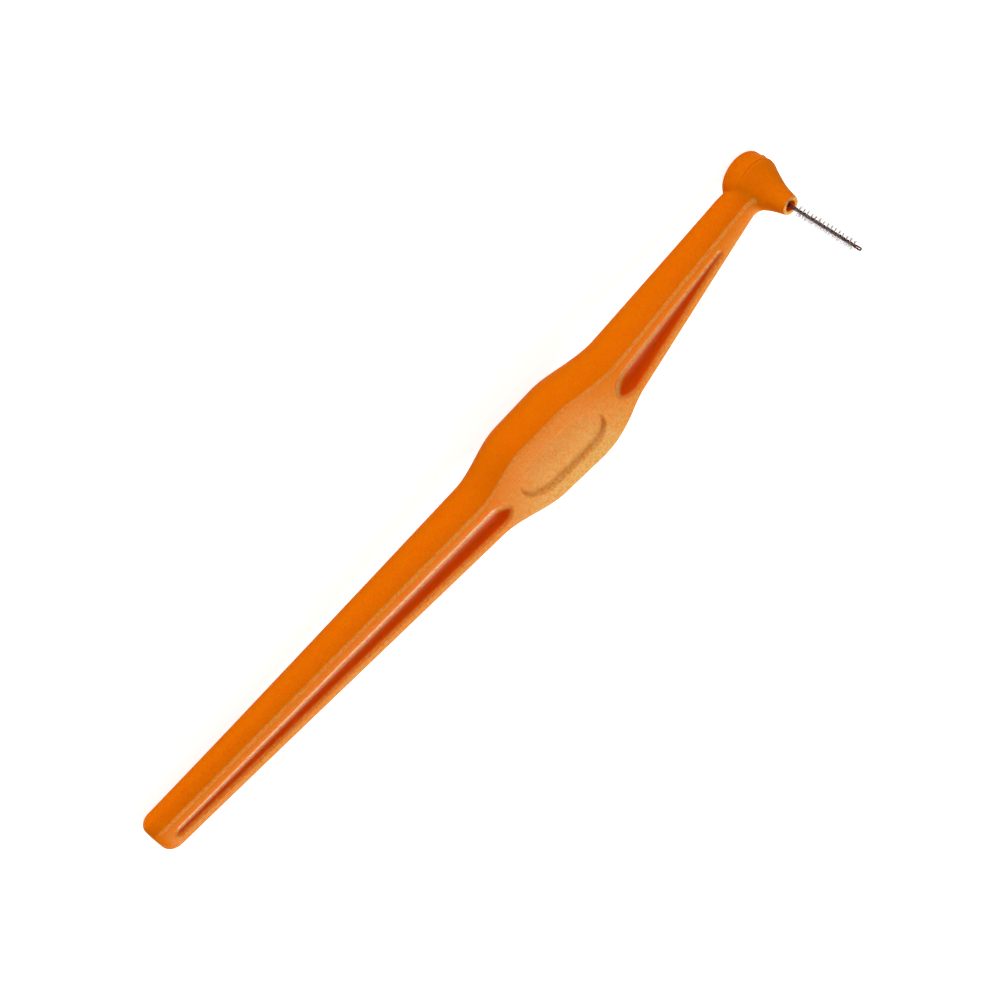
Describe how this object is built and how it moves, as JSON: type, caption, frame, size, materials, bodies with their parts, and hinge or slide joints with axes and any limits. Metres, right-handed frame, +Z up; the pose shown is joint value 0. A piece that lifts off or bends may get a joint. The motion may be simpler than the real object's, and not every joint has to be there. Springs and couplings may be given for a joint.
{
  "type": "interdental brush",
  "caption": "Hand-held interdental brush: a tapering moulded grip with two finger troughs and a thumb bulge, and a right-angled head that holds a short twisted-wire brush.",
  "frame": {"origin": "on the table, under the middle of the length and width", "axes": "+X from the tail to the head, +Y across the grip, +Z up, the way the flat face and the bristles point"},
  "size_m": [0.15, 0.0202, 0.0279],
  "materials": {
    "handle": "satin moulded polypropylene",
    "steel": "drawn stainless wire",
    "coating": "thin dark plastic coating",
    "filament": "translucent nylon thread"
  },
  "bodies": {
    "root": {"filaments_01": "filament", "filaments_02": "filament", "filaments_03": "filament", "filaments_04": "filament", "filaments_05": "filament", "filaments_06": "filament", "filaments_07": "filament", "filaments_08": "filament", "filaments_09": "filament", "filaments_10": "filament", "filaments_11": "filament", "filaments_12": "filament", "filaments_13": "filament", "filaments_14": "filament", "filaments_15": "filament", "handle": "handle", "wire_coating": "coating", "wire_core": "steel"}
  },
  "joints": []
}
